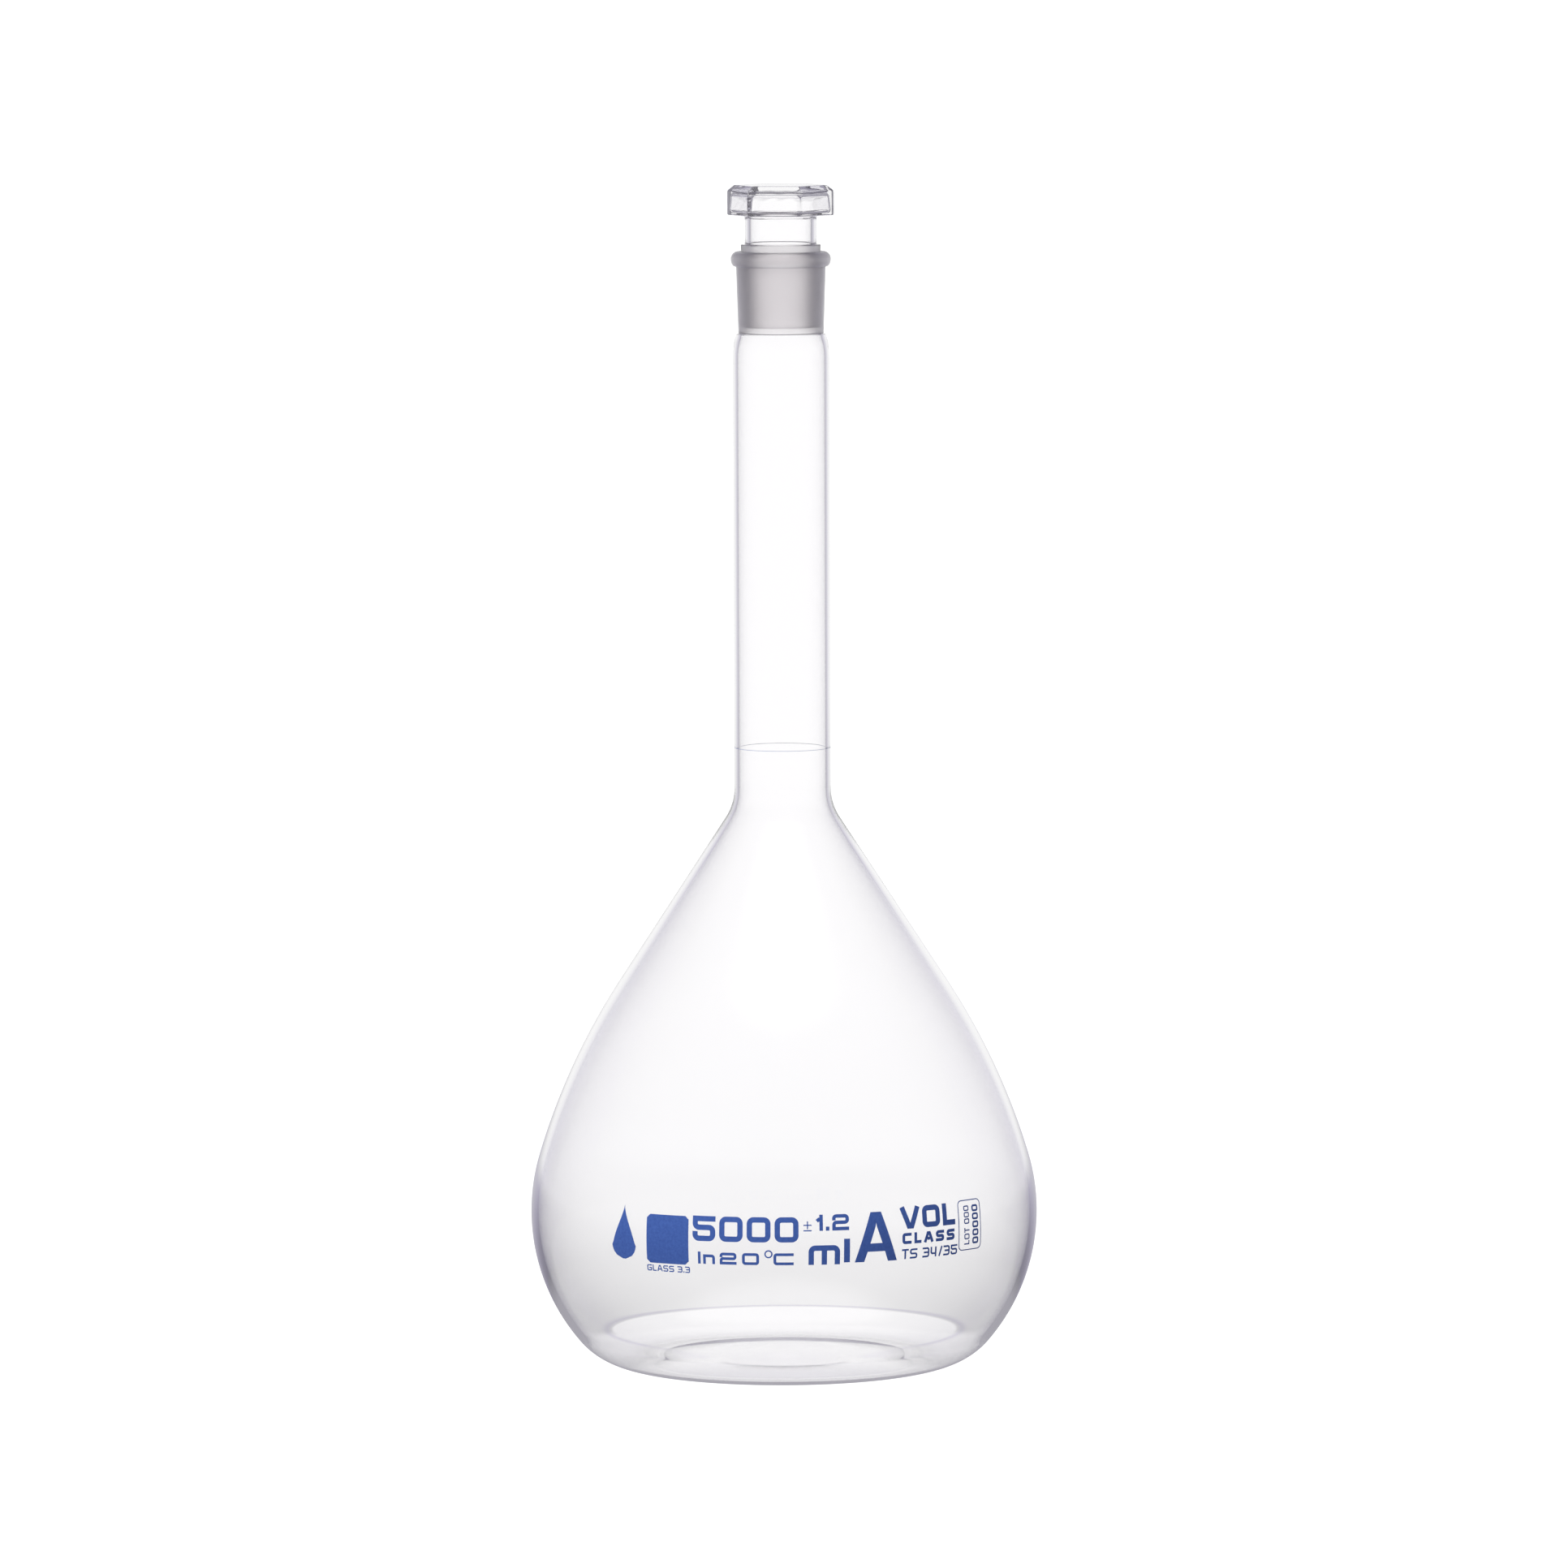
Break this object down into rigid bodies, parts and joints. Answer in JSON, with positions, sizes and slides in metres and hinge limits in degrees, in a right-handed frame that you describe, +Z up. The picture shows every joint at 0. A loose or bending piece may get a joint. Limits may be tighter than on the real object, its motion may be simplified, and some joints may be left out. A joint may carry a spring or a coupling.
{
  "type": "volumetric flask",
  "caption": "Clear glass volumetric flask with a round bulb, long narrow neck, graduation ring and a hollow hexagonal ground-glass stopper.",
  "frame": {"origin": "on the flask's axis at the level it stands on", "axes": "+Z up along the neck, -Y towards the printed front of the bulb"},
  "size_m": [0.2174, 0.2174, 0.5071],
  "materials": {
    "clear_glass": "fire-polished clear borosilicate glass",
    "ground_glass": "finely ground, translucent matt borosilicate glass",
    "blue_enamel": "fired blue enamel, satin"
  },
  "bodies": {
    "flask": {"bulb": "clear_glass", "neck_tube": "clear_glass", "ground_socket": "ground_glass", "graduation_ring": "blue_enamel", "enamel_badge": "blue_enamel"},
    "stopper": {"stopper_cone": "ground_glass", "stopper_head": "clear_glass"}
  },
  "joints": [
    {"name": "stopper_lift", "type": "slide", "parent": "flask", "child": "stopper", "axis": [0, 0, 1], "range_m": [0, 0.06]}
  ]
}
